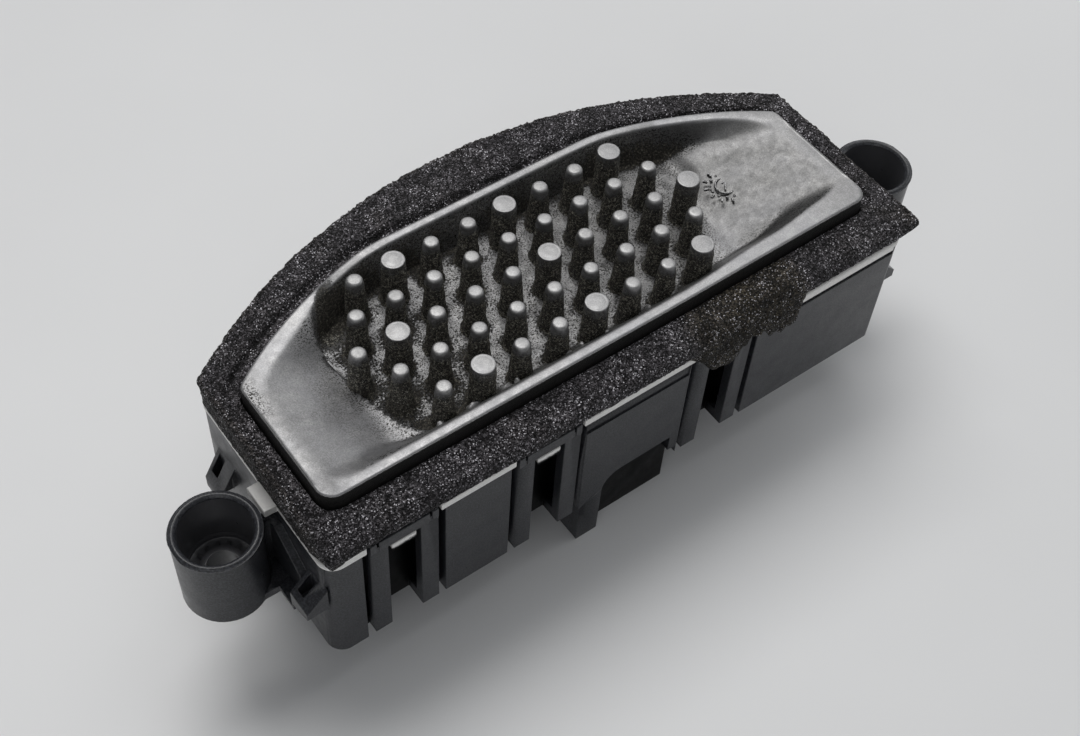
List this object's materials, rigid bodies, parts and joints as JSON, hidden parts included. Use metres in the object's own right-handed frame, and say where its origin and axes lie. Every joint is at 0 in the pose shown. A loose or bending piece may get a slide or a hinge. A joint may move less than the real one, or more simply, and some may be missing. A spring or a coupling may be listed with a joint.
{
  "type": "blower motor resistor",
  "caption": "Fan speed regulator: cast pin-fin heat sink with a dished rim and foam gasket on a black snap-fit plastic housing with two fixing bosses and a connector below.",
  "frame": {"origin": "centre of the bounding box at the underside of the connector, where the part rests", "axes": "+X along the long side, +Y towards the bowed back edge, +Z towards the pins, which stand in the air duct"},
  "size_m": [0.1332, 0.0516, 0.0438],
  "materials": {
    "cast_aluminium": "die-cast, satin, with dust and grime between the pins",
    "foam": "open-cell foam, coarse and sparkling",
    "black_plastic": "glass-filled moulding with a fine spark-eroded texture",
    "board": "solder mask over glass-fibre laminate",
    "insulator": "thin silicone pad, matte",
    "package": "moulded epoxy with tinned leads",
    "spring_steel": "rolled, plain",
    "zinc_steel": "zinc plated",
    "capacitor_sleeve": "shrink sleeve over an aluminium can",
    "ferrite": "sintered, dark grey",
    "copper": "enamelled copper wire",
    "tinned_metal": "plain resistance alloy",
    "ceramic_bead": "dipped bead",
    "ceramic": "sintered ceramic with tinned ends",
    "resistor_film": "glazed film on ceramic",
    "tinned_brass": "tin plated"
  },
  "bodies": {
    "root": {"heat_sink": "cast_aluminium", "foam_gasket": "foam", "housing": "black_plastic", "circuit_board": "board", "insulating_sheet": "insulator", "transistor_left": "package", "transistor_right": "package", "freewheel_diode": "package", "clamp_bar": "spring_steel", "clamp_screws": "zinc_steel", "board_screws": "zinc_steel", "capacitor_left": "capacitor_sleeve", "capacitor_right": "capacitor_sleeve", "choke_core": "ferrite", "choke_winding": "copper", "shunt_strip": "tinned_metal", "control_chip": "package", "driver_chip": "package", "suppressor_diode": "package", "temperature_sensor": "ceramic_bead", "ceramic_capacitors": "ceramic", "chip_resistors": "resistor_film", "supply_blade": "tinned_brass", "ground_blade": "tinned_brass", "motor_blade_plus": "tinned_brass", "motor_blade_minus": "tinned_brass", "signal_pins": "tinned_brass"}
  },
  "joints": []
}
